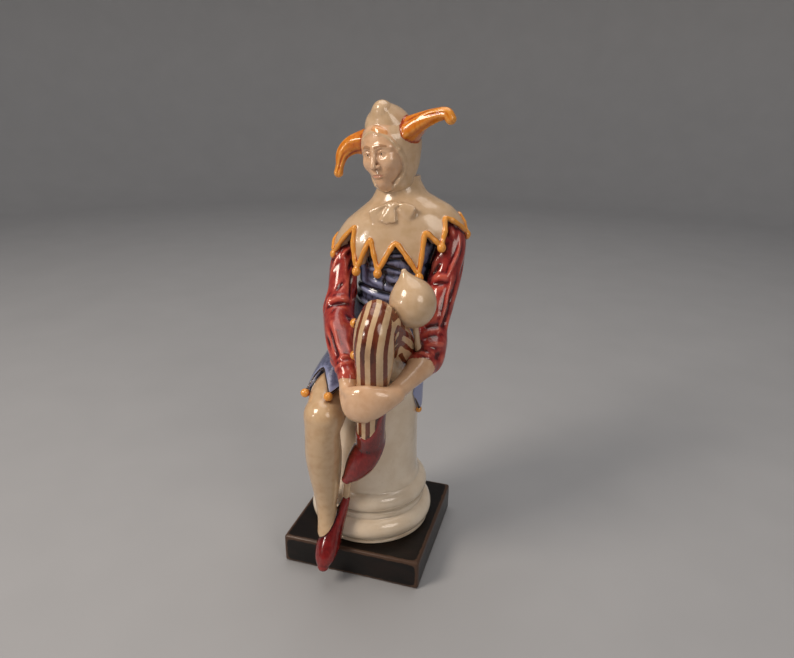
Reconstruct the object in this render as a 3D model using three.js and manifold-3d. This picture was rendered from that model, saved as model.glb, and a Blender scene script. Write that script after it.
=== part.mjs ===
// A glazed china jester, about ten inches high. He sits on a round pedestal and
// clasps one raised shin. The pedestal stands on a square slab.
// Millimetres, +Z up. The origin is the middle of the slab's underside, the slab's
// front edge faces -Y, and the figure's left side is on +X.
import * as THREE from 'three';
import { mergeVertices } from 'three/addons/utils/BufferGeometryUtils.js';
import Module from 'manifold-3d';

const wasm = await Module();
wasm.setup();

// Driving dimensions
const slabSide = 80;
const slabHeight = 17.7;
const slabEdge = 1.6;
const gap = 0.3;
const shaftRadius = 26.5;
const upperRingRadius = 32.5;
const lowerRingRadius = 35.5;
const grooveRadius = 30.5;
const footRadius = 34.6;
const seatHeight = 106;
const clothThickness = 1.5;
const pipingHeight = 0.9;
const bellRadius = 2.3;
const smallBellRadius = 1.7;
const bladderRadius = 11.4;
const bladderLength = 29;
const stickRadius = 1.5;
const fingerRadius = 2.1;

// Finish of each piece
const chinaLook = { color: 0xcdb496, roughness: 0.16, metalness: 0 };
const columnLook = { color: 0xc9beae, roughness: 0.16, metalness: 0 };
const slabLook = { color: 0x281c16, roughness: 0.2, metalness: 0 };

// Vectors and angles
const vec = (x, y, z) => new THREE.Vector3(x, y, z);
const rad = THREE.MathUtils.degToRad;
const frontward = vec(0, -1, 0);
const upward = vec(0, 0, 1);
const chestFront = vec(0.14, -0.99, 0);

// Solids: joins and cuts
function solid(geometry) {
  const bare = geometry.clone();
  bare.deleteAttribute('normal');
  bare.deleteAttribute('uv');
  const merged = mergeVertices(bare, 1e-4);
  const triangles = Uint32Array.from(merged.index.array);
  const make = (indices) =>
    new wasm.Manifold(
      new wasm.Mesh({
        numProp: 3,
        vertProperties: Float32Array.from(merged.attributes.position.array),
        triVerts: indices,
      })
    );
  const shape = make(triangles);
  return shape.volume() > 0 ? shape : make(triangles.reverse());
}

const join = (shapes) => shapes.reduce((whole, shape) => whole.add(shape));

function geometryOf(shape) {
  const mesh = shape.getMesh();
  const geometry = new THREE.BufferGeometry();
  geometry.setAttribute('position', new THREE.BufferAttribute(mesh.vertProperties, 3));
  geometry.setIndex(new THREE.BufferAttribute(mesh.triVerts, 1));
  geometry.computeVertexNormals();
  return geometry;
}

// A closed skin from rows of points: each row is one loop, and the two ends close on a point.
function skin(rows, firstPole, lastPole) {
  const count = rows[0].length;
  const points = [firstPole, ...rows.flat(), lastPole];
  const triangles = [];
  const at = (row, column) => 1 + row * count + (column % count);
  const end = points.length - 1;
  for (let column = 0; column < count; column += 1) {
    triangles.push(0, at(0, column + 1), at(0, column));
    triangles.push(end, at(rows.length - 1, column), at(rows.length - 1, column + 1));
    for (let row = 0; row < rows.length - 1; row += 1) {
      triangles.push(at(row, column), at(row, column + 1), at(row + 1, column));
      triangles.push(at(row, column + 1), at(row + 1, column + 1), at(row + 1, column));
    }
  }
  const geometry = new THREE.BufferGeometry();
  geometry.setFromPoints(points);
  geometry.setIndex(triangles);
  return geometry;
}

// A limb: oval sections along a smooth line. A station is [x, y, z, half width, half depth].
// An angle of 0 looks along front, and t counts the stations.
function limb(stations, front, folds = () => 0) {
  const last = stations.length - 1;
  const station = (index) => stations[THREE.MathUtils.clamp(index, 0, last)];
  const at = (t) => {
    const index = Math.min(Math.floor(THREE.MathUtils.clamp(t, 0, last)), last - 1);
    const f = t - index;
    const [p0, p1, p2, p3] = [-1, 0, 1, 2].map((step) => station(index + step));
    return p1.map((value, k) => {
      const v0 = (p2[k] - p0[k]) / 2;
      const v1 = (p3[k] - value) / 2;
      const rise = p2[k] - value;
      return value + f * v0 + f * f * (3 * rise - 2 * v0 - v1) + f * f * f * (v0 + v1 - 2 * rise);
    });
  };
  const frame = (t) => {
    const step = 0.05;
    const [ahead, behind] = [at(Math.min(t + step, last)), at(Math.max(t - step, 0))];
    const along = vec(ahead[0] - behind[0], ahead[1] - behind[1], ahead[2] - behind[2]).normalize();
    const side = along.clone().cross(front).normalize();
    return { along, side, face: side.clone().cross(along) };
  };
  const point = (t, angle, lift = 0, shrink = 1) => {
    const inside = THREE.MathUtils.clamp(t, 0, last);
    const [x, y, z, width, depth] = at(inside);
    const { side, face } = frame(inside);
    const grow = lift + folds(inside, angle);
    return vec(x, y, z)
      .addScaledVector(side, (width + grow) * Math.sin(angle) * shrink)
      .addScaledVector(face, (depth + grow) * Math.cos(angle) * shrink);
  };
  return { last, at, frame, point };
}

const around = (sides) => Array.from({ length: sides }, (_, k) => (k / sides) * 2 * Math.PI);

// The whole limb as a solid with round ends.
function body(shape, rings, sides, capRows = 1) {
  const cap = (t, direction, roundness) => {
    const [, , , width, depth] = shape.at(t);
    const reach = Math.min(width, depth) * roundness;
    const row = (k) => {
      const rise = (k / (capRows + 1)) * (Math.PI / 2);
      const offset = shape.frame(t).along.multiplyScalar(direction * reach * Math.sin(rise));
      return around(sides).map((angle) => shape.point(t, angle, 0, Math.cos(rise)).add(offset));
    };
    const [x, y, z] = shape.at(t);
    const pole = vec(x, y, z).addScaledVector(shape.frame(t).along, direction * reach);
    return { rows: Array.from({ length: capRows }, (_, k) => row(k + 1)), pole };
  };
  const start = cap(0, -1, 1);
  const finish = cap(shape.last, 1, 1);
  const middle = Array.from({ length: rings + 1 }, (_, k) =>
    around(sides).map((angle) => shape.point((k / rings) * shape.last, angle))
  );
  return solid(skin([...start.rows.reverse(), ...middle, ...finish.rows], start.pole, finish.pole));
}

// Cloth over a limb: columns of { angle, from, to } in the limb's own t. Plain rows stand at the
// given levels, then steps lead down to the hem, which may have a raised rim.
function cover(shape, columns, { lift = clothThickness, hold = 2, levels = [], steps = 3, rim = 0 } = {}) {
  const rimWidth = 0.3;
  const rows = columns.map(({ angle, from, to }) => {
    const start = levels.length ? levels[levels.length - 1] : from;
    const end = to - (rim ? rimWidth : 0);
    const outside = Array.from({ length: steps + 1 }, (_, k) => [start + ((end - start) * k) / steps, lift]);
    const rimRows = rim ? [[to - rimWidth / 2, lift + rim], [to, lift + rim / 2]] : [];
    const inside = [[to, -hold], [from, -hold]];
    return [...levels.slice(0, -1).map((t) => [t, lift]), ...outside, ...rimRows, ...inside].map(
      ([t, height]) => shape.point(t, angle, height)
    );
  });
  const count = rows[0].length;
  const points = rows.flat();
  const triangles = [];
  for (let column = 0; column < columns.length; column += 1) {
    const next = (column + 1) % columns.length;
    for (let k = 0; k < count; k += 1) {
      const [a, b] = [column * count + k, column * count + ((k + 1) % count)];
      const [c, d] = [next * count + k, next * count + ((k + 1) % count)];
      triangles.push(a, b, c, b, d, c);
    }
  }
  const geometry = new THREE.BufferGeometry();
  geometry.setFromPoints(points);
  geometry.setIndex(triangles);
  return solid(geometry);
}

// Columns whose far edge runs straight between hem corners [angle in degrees, t].
function zigzag(hem, from, steps = 2) {
  return hem.flatMap(([angle, to], k) => {
    const [nextAngle, nextTo] = hem[(k + 1) % hem.length];
    const turn = nextAngle > angle ? nextAngle - angle : nextAngle + 360 - angle;
    return Array.from({ length: steps }, (_, step) => {
      const f = step / steps;
      return { angle: rad(angle + turn * f), from, to: to + (nextTo - to) * f };
    });
  });
}

function ball(center, radius, wide = 5, high = 4) {
  return solid(new THREE.SphereGeometry(radius, wide, high).translate(center.x, center.y, center.z));
}

// Gathers that run along a sleeve and creases that run round it.
const gathers = (depth, count, twist, creases) => (t, angle) =>
  depth * Math.cos(count * angle + twist * t) + creases * Math.cos(5.2 * t + 1.3 * Math.sin(angle));

// Trunk, from the seat up to the neck
const trunk = limb(
  [
    [2, 8, 112, 21, 17],
    [3, 6, 126, 20, 16.5],
    [6, 4, 142, 17, 14.5],
    [9, 3, 156, 15, 13.5],
    [11, 4.5, 170, 17.5, 15.5],
    [12.5, 6.5, 184, 24, 17],
    [12.5, 7, 196, 22, 15.5],
    [12, 7, 207, 11.4, 11],
  ],
  chestFront
);

// The cape's outer surface, from the neck down over the shoulders. The left shoulder is the higher one.
const shoulderTilt = 0.155;
const capeStations = [
  [12, 6.5, 214, 9, 9.5],
  [12, 6.5, 207, 12.5, 11.5],
  [12.5, 7, 202.5, 21, 15],
  [12.5, 7, 197, 28.6, 17.6],
  [12.5, 7, 189, 33.4, 19.2],
  [12.5, 7, 181, 35, 20.2],
  [12.5, 7, 173, 35.4, 20.6],
  [12.5, 7, 165, 35.4, 20.6],
];
const tilted = (shape) => ({
  ...shape,
  point: (t, angle, lift, shrink) => {
    const spot = shape.point(t, -angle, lift, shrink);
    return spot.setZ(spot.z + (spot.x - 12.5) * shoulderTilt);
  },
});
const cape = tilted(limb(capeStations, chestFront));

// Hem corners: each bell hangs at a long point, with a notch before the next
const capeHem = [
  [-74, 5.05], [-43, 3.2], [-31, 6.1], [-19, 4.1], [-9, 6.2], [8, 4.3],
  [25, 6.6], [34, 4.0], [46, 5.0], [57, 3.4], [70, 4.6], [83, 3.3],
  ...[97, 124, 151, 178, 205, 232, 259].flatMap((angle) => [[angle, 5.3], [angle + 13, 3.8]]),
];

// Arms
const rightUpperArm = limb(
  [
    [-7.6, 6.4, 189.4, 7.8, 8],
    [-12.6, 3, 180, 7.4, 7.8],
    [-14.4, -3, 170, 7.4, 7.6],
    [-12.8, -11, 158, 7.4, 7.8],
    [-11, -20, 148, 7.6, 8],
    [-8.5, -27, 143, 7, 7.4],
  ],
  frontward,
  gathers(0.55, 3, 1.1, 0.3)
);
const rightForearm = limb(
  [
    [-10.5, -22, 146, 7.6, 7.8],
    [-7, -31, 142.5, 7.2, 7.4],
    [-3, -38.5, 137.5, 6.8, 6.6],
    [1.6, -45, 132.6, 5.6, 5.6],
    [5, -50, 128.6, 4.9, 4.9],
  ],
  frontward,
  gathers(0.5, 3, -1.2, 0.25)
);
const leftUpperArm = limb(
  [
    [34, 9, 195, 8, 8],
    [39.5, 9, 186, 8.2, 8.6],
    [39.5, 4, 172, 8.6, 8.8],
    [38.4, -4, 157, 8, 8.2],
    [37.2, -11, 145, 7.3, 7.6],
    [37.3, -18, 135.5, 7.3, 7.2],
  ],
  frontward,
  gathers(0.6, 3, 1.4, 0.3)
);
const leftCuff = limb(
  [
    [37.2, -12, 142, 7, 7],
    [37.6, -17, 137.5, 8.2, 8.2],
    [37.2, -22.5, 132, 8.4, 8.4],
    [35.2, -27, 129, 7.4, 7.6],
  ],
  frontward,
  gathers(0.5, 5, 0.6, 0.2)
);
const leftForearm = limb(
  [
    [37.6, -22, 131, 6.6, 6.6],
    [35, -31, 128.4, 6.6, 6.2],
    [31.5, -42, 125.2, 5, 4.7],
    [28, -51, 122.6, 4.5, 4.6],
  ],
  upward
);

// Hands clasped in front of the shin
const rightHand = limb(
  [
    [4.6, -49.5, 129.2, 4.3, 4.6],
    [6, -52.5, 124.5, 4.4, 5],
    [7.5, -55, 119.5, 4.6, 5.6],
    [10, -57, 114.5, 4.4, 5],
    [15, -57.5, 112.5, 3.6, 3.6],
  ],
  frontward
);
const leftHand = limb(
  [
    [29, -51.5, 122.6, 4.6, 4.5],
    [25.5, -56, 121.8, 4.6, 6.5],
    [20, -59.5, 120.8, 4.4, 8.8],
    [13.5, -60.4, 119.4, 4.3, 9],
    [9, -58.6, 118, 3.8, 7.4],
  ],
  upward
);
const fingerHeights = [125.2, 120.8, 116.4, 112.4];
const fingers = fingerHeights.map((height, k) =>
  limb(
    [
      [15 + k * 0.7, -61.5 + k * 0.5, height, fingerRadius, fingerRadius],
      [9.5 + k * 0.8, -60.3 + k * 0.5, height - 0.6, fingerRadius, fingerRadius],
      [5.8 + k * 0.9, -56.4 + k * 0.4, height - 1.2, fingerRadius, fingerRadius],
      [5 + k * 0.9, -51.5 + k * 0.3, height - 1.6, fingerRadius * 0.9, fingerRadius * 0.9],
    ],
    upward
  )
);

// Legs
const rightThigh = limb(
  [
    [-8, 8, 112, 14, 13],
    [-9, -12, 113, 13, 12.2],
    [-9.5, -32, 110, 11.8, 11.4],
    [-9.3, -46, 103.5, 10.2, 10.2],
  ],
  upward
);
const rightShin = limb(
  [
    [-9, -49, 104, 9.6, 9.6],
    [-10, -48.6, 94, 8.9, 9.2],
    [-11.3, -45, 80.5, 9.4, 10],
    [-12.1, -42, 67.7, 8.6, 9.2],
    [-12.5, -40.2, 56, 7.2, 7.6],
    [-12.8, -39.8, 46, 5.7, 6],
    [-12.4, -40.4, 37, 5.1, 5.3],
    [-12, -42, 29, 5.2, 5],
  ],
  frontward
);
const rightShoe = limb(
  [
    [-3.4, -34.4, 46, 2.2, 2.2],
    [-5.8, -36.8, 38, 3.4, 3.8],
    [-8.6, -40.8, 29.4, 5.2, 5.6],
    [-10.3, -45, 22, 6.6, 6],
    [-10.8, -49.2, 16.6, 5.6, 4.8],
    [-10.8, -51.4, 12.8, 3.2, 3],
  ],
  vec(-0.35, -0.9, 0.1)
);
const leftThigh = limb(
  [
    [12, 8, 114, 14, 13.5],
    [16, -12, 126, 12.8, 12.6],
    [20, -32, 142, 11.4, 11.6],
    [19.6, -45, 154, 9.6, 9.6],
  ],
  upward
);
// A small lug of clay that carries the raised toe
const lug = limb([[1, -42, 65, 2.2, 2.2], [-1, -38.5, 57.5, 2, 2], [-3, -35, 50, 2.2, 2.2]], frontward);
const leftShin = limb(
  [
    [18.4, -47, 159.6, 7.2, 7.4],
    [18.8, -51.5, 155, 9, 9],
    [19, -53.4, 146, 9.6, 9.4],
    [18.6, -52, 136, 9, 9],
    [17, -49.8, 125, 7.8, 8],
    [15.6, -47, 114, 7.2, 7.4],
    [14.2, -44, 104, 6.9, 7],
    [13, -41, 94.5, 6.8, 6.8],
    [12, -38.6, 87, 6.8, 6.6],
  ],
  frontward
);
const leftShoe = limb(
  [
    [15.4, -33.4, 97, 2.8, 2.8],
    [13.6, -36.4, 90.5, 6.6, 6],
    [11, -38.8, 83, 8, 7],
    [7.4, -40.6, 75.4, 7.6, 6.8],
    [3.8, -42, 69.4, 5.4, 5.2],
    [0.8, -43, 65.6, 2.9, 3],
  ],
  vec(-0.3, -0.9, 0.3)
);

// Skirt: over the hips, and over the hanging leg's thigh
const hips = limb(
  [
    [8, 3.5, 154, 16, 14.5],
    [5, 5, 140, 19.5, 18],
    [2.6, 5, 124, 24, 22.5],
    [0.8, 3, 108, 26, 25.6],
    [0.2, 1.6, 96, 26.6, 26.6],
    [0, 1, 86, 26.8, 26.8],
  ],
  frontward,
  gathers(0.7, 8, 0, 0)
);
const hipHem = [
  [20, 2.2], [50, 2.6], [68, 3.4], [86, 4.5], [108, 3.5], [130, 4.4], [152, 3.5], [174, 4.4],
  [196, 3.5], [218, 4.4], [240, 3.5], [262, 4.3], [284, 3.2], [306, 3.0], [340, 2.2],
];
const lap = limb(
  [
    [-7, 4, 118, 15, 13.4],
    [-8, -12, 116, 14.4, 13],
    [-9, -28, 112.5, 13.2, 12],
    [-9.4, -40, 108, 11.8, 11],
    [-9.4, -50, 103, 10.6, 10.4],
  ],
  upward
);
const lapHem = [
  [-95, 3.0], [-60, 1.9], [-18, 3.45], [24, 2.1], [66, 3.1], [95, 1.8], [120, 2.6], [150, 1.5],
  [180, 1.0], [210, 1.0], [240, 1.8],
];

// Bells on the skirt's points, and on the stocking
const hipBells = hipHem.filter(([, t]) => t > 4).map(([angle, t]) => hips.point(t, rad(-angle), 1));
const lapBells = lapHem.filter(([angle, t]) => t > 2.9).map(([angle, t]) => lap.point(t, rad(angle), 1.4));
const garterBells = [vec(8.6, -50, 155.4), vec(8.4, -50, 139.4)];

// Head and cap. The head's own frame has the face along -Y and its middle at the origin.
const headPlace = new THREE.Matrix4()
  .makeTranslation(9.4, 1.5, 226)
  .multiply(new THREE.Matrix4().makeRotationZ(rad(-15)))
  .multiply(new THREE.Matrix4().makeRotationY(rad(-8)))
  .multiply(new THREE.Matrix4().makeRotationX(rad(6)));
const onHead = (shape) => {
  const place = headPlace.elements;
  return shape.transform([...place]);
};
const skull = limb(
  [
    [0, -7.2, -17.4, 5.2, 5],
    [0, -5.4, -13, 9, 8.8],
    [0, -3.4, -6, 11.8, 11.2],
    [0, -2.6, 1, 12.8, 12.2],
    [0, -2, 7, 12.8, 12.6],
    [0, 0, 13, 10.6, 11],
  ],
  frontward
);
const hood = limb(
  [
    [0, 1.2, -20, 10.5, 9.5],
    [0, 2, -14, 12.4, 10.8],
    [0, 2.6, -6, 13.8, 12],
    [0, 2.2, 2, 14.6, 13.2],
    [0, 1.2, 9, 13.8, 13.8],
    [0, 1.4, 14, 11, 11.6],
  ],
  frontward
);
const crest = limb(
  [
    [13.6, 4, 236, 9, 9],
    [10.6, 0, 243, 7.8, 7.8],
    [7.6, -4.4, 247, 6.4, 6.2],
    [5.8, -8, 247.8, 5, 5],
  ],
  upward
);
const nose = limb(
  [
    [0, -13.2, 4.4, 1.3, 1.4],
    [0, -15, 0, 1.5, 1.8],
    [0, -16.4, -3.4, 2.1, 1.8],
  ],
  frontward
);
const brow = limb(
  [[-7, -10.6, 4.6, 1.2, 1.2], [-3, -13, 5.6, 1.4, 1.4], [3, -13, 5.6, 1.4, 1.4], [7, -10.6, 4.6, 1.2, 1.2]],
  upward
);
const mouth = limb([[-3, -12.8, -8.4, 0.9, 0.9], [0, -14.2, -8.2, 1.3, 1.3], [3, -12.8, -8.4, 0.9, 0.9]], upward);
const chin = limb([[-1.6, -11.2, -14, 2.6, 2.6], [1.6, -11.2, -14, 2.6, 2.6]], upward);
const forelock = limb([[-3.4, -11.6, 11, 1.8, 2], [0, -12.2, 12.4, 2.2, 2.4], [3.4, -11.6, 11, 1.8, 2]], upward);

const rightHorn = limb(
  [
    [1, 6, 233.4, 7, 7],
    [-5.4, 5.4, 232.4, 5.8, 5.8],
    [-11.8, 4, 230.8, 4.2, 4.2],
    [-16, 2.6, 226.4, 3, 3],
    [-17.6, 1.8, 220.8, 2.1, 2.1],
    [-18.4, 1.4, 217, 2.4, 2.4],
  ],
  frontward
);
const leftHorn = limb(
  [
    [15, 2, 236, 8.4, 8.6],
    [21, -1, 240.2, 6.2, 7.6],
    [27, -4, 243.8, 4.2, 4.8],
    [33.4, -6, 246.4, 3.2, 3.4],
    [38.8, -7.6, 247.2, 2.9, 2.9],
    [41.2, -8, 244.8, 2.6, 2.8],
  ],
  frontward,
  (t, angle) => (t > 0.5 && t < 3 ? 0.35 * Math.cos(5 * angle) : 0)
);

// A bow in low relief at the neck
const bow = [
  limb([[15, -8.4, 203.4, 1.6, 1.2], [15.2, -9.6, 200.6, 1.6, 1.2]], frontward),
  limb([[14, -9.4, 202, 1.4, 1], [9, -9.8, 199.4, 2.6, 1], [4.6, -8.6, 197.6, 2, 0.9]], frontward),
  limb([[17, -9.4, 202.4, 1.4, 1], [23, -9.2, 202, 2.8, 1], [28.6, -6.8, 201.4, 2.2, 0.9]], frontward),
  limb([[14.6, -10, 200, 1.2, 0.9], [12, -12.2, 194.6, 1.6, 0.9]], frontward),
  limb([[16, -10, 200, 1.2, 0.9], [19, -12.2, 195, 1.6, 0.9]], frontward),
];

// The bladder: a ball with a drawn-out point, on a thin stick
function bladder() {
  const [tip, waist] = [bladderLength * 0.56, bladderLength * 0.44];
  const [steps, lean] = [10, -11];
  const profile = Array.from({ length: steps + 1 }, (_, k) => {
    const angle = (k / steps) * Math.PI;
    const high = Math.cos(angle);
    const narrow = high > 0 ? 1 - 0.5 * high * high : 1;
    return new THREE.Vector2(
      k === 0 || k === steps ? 0 : bladderRadius * Math.sin(angle) * narrow,
      high > 0 ? high * tip : high * waist
    );
  });
  const shape = new THREE.LatheGeometry(profile, 14).rotateX(Math.PI / 2);
  return solid(shape.rotateY(rad(lean)).translate(31.2, -33, 162.6));
}
const stick = limb([[31.5, -31, 158, stickRadius, stickRadius], [33.4, -27, 136, stickRadius, stickRadius]], frontward);

// The figure, as one casting
function jester(supports) {
  const capeColumns = zigzag(capeHem, 0.4, 1);
  const parts = [
    body(trunk, 7, 12),
    cover(cape, capeColumns, { lift: 0, hold: 3, levels: [0.4, 1, 2, 3], steps: 1, rim: pipingHeight }),
    ...capeHem.filter((_, k) => k % 2 === 0).map(([angle, t]) => ball(cape.point(t, rad(angle), 0.6), bellRadius)),
    body(rightUpperArm, 8, 12),
    body(rightForearm, 6, 12),
    body(leftUpperArm, 8, 12),
    body(leftCuff, 4, 15),
    body(leftForearm, 3, 9),
    body(rightHand, 3, 7),
    body(leftHand, 4, 9),
    ...fingers.map((finger) => body(finger, 3, 5)),
    body(rightThigh, 3, 12),
    body(rightShin, 7, 12),
    body(rightShoe, 5, 9),
    body(leftThigh, 3, 12),
    body(leftShin, 7, 12),
    body(leftShoe, 5, 9),
    body(lug, 2, 6),
    cover(hips, zigzag(hipHem.map(([angle, t]) => [-angle, t]).reverse(), 0.2, 1), { hold: 9, steps: 3 }),
    cover(lap, zigzag(lapHem, 0.1, 1), { hold: 5, steps: 2 }),
    ...hipBells.map((center) => ball(center, smallBellRadius)),
    ...lapBells.map((center) => ball(center, bellRadius)),
    ...garterBells.map((center) => ball(center, bellRadius)),
    onHead(join([skull, hood].map((shape) => body(shape, 6, 14)))),
    onHead(join([nose, brow, mouth, chin, forelock].map((shape) => body(shape, 2, 5)))),
    body(crest, 4, 10),
    body(rightHorn, 6, 8),
    body(leftHorn, 6, 10),
    ...bow.map((fold) => body(fold, 2, 5)),
    bladder(),
    body(stick, 1, 6),
  ];
  return join(parts).subtract(supports);
}

// The pedestal: a shaft on two rounded rings
function pedestal(grow) {
  const foot = slabHeight + gap;
  const bead = (radius, middle, half, steps) =>
    Array.from({ length: steps + 1 }, (_, k) => {
      const angle = rad(-75 + (150 * k) / steps);
      return [radius - half + half * Math.cos(angle), middle + half * Math.sin(angle)];
    });
  const profile = [
    [0, foot - grow],
    [footRadius - 2, foot - grow],
    ...bead(lowerRingRadius, foot + 7, 7, 4),
    [grooveRadius, foot + 15.2],
    [grooveRadius, foot + 16.8],
    ...bead(upperRingRadius, foot + 23, 6, 4),
    [shaftRadius + 1, foot + 30.5],
    [shaftRadius, foot + 34],
    [shaftRadius, seatHeight + grow],
    [0, seatHeight + grow],
  ].map(([radius, height]) => new THREE.Vector2(radius ? radius + grow : 0, height));
  return new THREE.LatheGeometry(profile, 30).rotateX(Math.PI / 2);
}

// The slab, with eased edges
function slab(grow) {
  const half = slabSide / 2 - slabEdge;
  const outline = new THREE.Shape();
  const corner = 2.4;
  outline.moveTo(-half + corner, -half);
  [[1, -1], [1, 1], [-1, 1], [-1, -1]].forEach(([x, y], k) => {
    const start = rad(-90 + 90 * k);
    outline.absarc(x * (half - corner), y * (half - corner), corner, start, start + Math.PI / 2);
  });
  const height = slabHeight - 2 * slabEdge;
  const geometry = new THREE.ExtrudeGeometry(outline, {
    depth: height,
    bevelSize: slabEdge + grow,
    bevelThickness: slabEdge + grow,
    bevelSegments: 2,
    curveSegments: 2,
  });
  return geometry.translate(0, 0, slabEdge);
}

const pieces = {
  jester: [geometryOf(jester(join([solid(pedestal(gap)), solid(slab(gap))]))), chinaLook],
  column: [pedestal(0), columnLook],
  base: [slab(0), slabLook],
};

const figurine = new THREE.Group();
for (const [name, [geometry, look]] of Object.entries(pieces)) {
  const mesh = new THREE.Mesh(geometry, new THREE.MeshStandardMaterial(look));
  mesh.name = name;
  figurine.add(mesh);
}

export default figurine;
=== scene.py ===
"""A glazed china jester, seated on a round pedestal over a square slab.

The figure is modelled in millimetres as distances from smooth bodies. Each body has a paint, and
the distances also say where one colour ends and the next begins."""
import math

import bpy
import numpy as np
import openvdb
from mathutils import Matrix


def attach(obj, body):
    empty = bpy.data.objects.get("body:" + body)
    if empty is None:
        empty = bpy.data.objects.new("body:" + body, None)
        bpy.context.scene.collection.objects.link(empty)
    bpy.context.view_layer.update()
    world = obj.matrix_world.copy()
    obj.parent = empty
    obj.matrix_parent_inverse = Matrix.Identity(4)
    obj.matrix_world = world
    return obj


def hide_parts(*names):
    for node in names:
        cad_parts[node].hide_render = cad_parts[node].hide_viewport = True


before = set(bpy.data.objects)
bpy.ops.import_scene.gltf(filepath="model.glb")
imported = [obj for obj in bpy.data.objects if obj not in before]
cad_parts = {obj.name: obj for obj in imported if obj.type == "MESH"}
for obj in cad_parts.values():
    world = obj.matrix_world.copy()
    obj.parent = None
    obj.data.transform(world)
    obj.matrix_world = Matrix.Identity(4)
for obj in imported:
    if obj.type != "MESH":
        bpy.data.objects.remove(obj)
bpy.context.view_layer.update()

MM = 0.001
COARSE = 1.0
BLOCK = 5
BAND = 2.6
FRONT = (0.0, -1.0, 0.0)
UP = (0.0, 0.0, 1.0)
CHEST = (0.14, -0.99, 0.0)
ACROSS = math.pi / 2


# Small helpers on rows of numbers
def unit(rows):
    return rows / np.linalg.norm(rows, axis=-1, keepdims=True)


def smooth_min(a, b, blend):
    near = np.maximum(blend - np.abs(a - b), 0) / blend
    return np.minimum(a, b) - near * near * blend / 4


def smooth_max(a, b, blend):
    return -smooth_min(-a, -b, blend)


def spline(stations, t):
    rows = np.asarray(stations, float)
    last = len(rows) - 1
    t = np.clip(t, 0, last)
    index = np.minimum(t.astype(int), last - 1)
    f = (t - index)[:, None]
    p0, p1, p2, p3 = (rows[np.clip(index + step, 0, last)] for step in (-1, 0, 1, 2))
    v0, v1, rise = (p2 - p0) / 2, (p3 - p1) / 2, p2 - p1
    return p1 + f * v0 + f * f * (3 * rise - 2 * v0 - v1) + f ** 3 * (v0 + v1 - 2 * rise)


def turned(angle):
    return (angle + math.pi) % (2 * math.pi) - math.pi


# Bodies. Each has a box (low, high), a paint, and a signed distance in millimetres.
class Limb:
    """Oval sections along a smooth line. A station is [x, y, z, half width, half depth]."""

    def __init__(self, stations, paint, front=FRONT, folds=None, steps=6):
        last = len(stations) - 1
        t = np.linspace(0, last, last * steps + 1)
        rows = spline(stations, t)
        along = unit(spline(stations, t + 0.05)[:, :3] - spline(stations, t - 0.05)[:, :3])
        side = unit(np.cross(along, np.broadcast_to(front, along.shape)))
        face = np.cross(side, along)
        length = np.concatenate([[0], np.cumsum(np.linalg.norm(np.diff(rows[:, :3], axis=0), axis=1))])
        slope = np.gradient(rows[:, 3:].mean(1), length)
        pace = np.gradient(length, t)
        bend = np.gradient(along, axis=0)
        columns = [rows, side, face, along, t[:, None], length[:, None], slope[:, None], pace[:, None], bend]
        self.table = np.hstack(columns).astype(np.float32)
        self.steps, self.paint, self.folds, self.last = steps, paint, folds, last
        reach = rows[:, 3:].max(1, keepdims=True) + 1.5
        self.low = (rows[:, :3] - reach).min(0)
        self.high = (rows[:, :3] + reach).max(0)

    def row(self, where):
        where = np.clip(where, 0, len(self.table) - 1)
        index = np.minimum(where.astype(int), len(self.table) - 2)
        f = (where - index)[:, None]
        return self.table[index] * (1 - f) + self.table[index + 1] * f

    def place(self, points, span=None):
        """For each point: its row of the table, and its offset to the side, to the front and along.
        Where span is given, only the rows near it are searched."""
        best = np.full(len(points), 1e9, np.float32)
        where = np.zeros(len(points), np.float32)
        first, last = (0, len(self.table) - 1) if span is None else span
        for k in range(max(int(first) - 5, 0), min(int(last) + 6, len(self.table) - 1)):
            a = self.table[k, :3]
            step = self.table[k + 1, :3] - a
            q = points - a
            h = np.clip(q @ step / (step @ step), 0, 1)
            q -= h[:, None] * step
            d = np.einsum("ij,ij->i", q, q)
            closer = d < best
            best[closer] = d[closer]
            where[closer] = k + h[closer]
        row = self.row(where)
        q = points - row[:, :3]
        pace = row[:, 17] / self.steps
        stretch = np.maximum(pace - np.einsum("ij,ij->i", q, row[:, 18:21]), 0.3 * pace)
        where = np.clip(where + np.einsum("ij,ij->i", q, row[:, 11:14]) / stretch, 0, len(self.table) - 1)
        row = self.row(where)
        q = points - row[:, :3]
        u, v, w = (np.einsum("ij,ij->i", q, row[:, k:k + 3]) for k in (5, 8, 11))
        inside = (where > 0) & (where < len(self.table) - 1)
        self.where = where
        return row, u, v, np.where(inside, 0, w)

    def measure(self, row, u, v, w):
        a, b = row[:, 3], row[:, 4]
        c = np.minimum(a, b)
        k0 = np.sqrt((u / a) ** 2 + (v / b) ** 2 + (w / c) ** 2)
        k1 = np.sqrt((u / a ** 2) ** 2 + (v / b ** 2) ** 2 + (w / c ** 2) ** 2)
        d = k0 * (k0 - 1) / np.maximum(k1, 1e-6) / np.sqrt(1 + row[:, 16] ** 2)
        if self.folds:
            d = d - self.folds(row[:, 14], np.arctan2(u / a, v / b), row[:, 15])
        return d

    def distance(self, points, span=None):
        return self.measure(*self.place(points, span))

    def point(self, t, angle, lift=0.0):
        """Places on the surface, in rows. An angle of 0 is towards the front."""
        t, angle = np.broadcast_arrays(np.atleast_1d(np.asarray(t, float)), angle)
        row = self.row(t * self.steps)
        out = row[:, :3] + row[:, 5:8] * ((row[:, 3] + lift) * np.sin(angle))[:, None]
        return out + row[:, 8:11] * ((row[:, 4] + lift) * np.cos(angle))[:, None]


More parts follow.
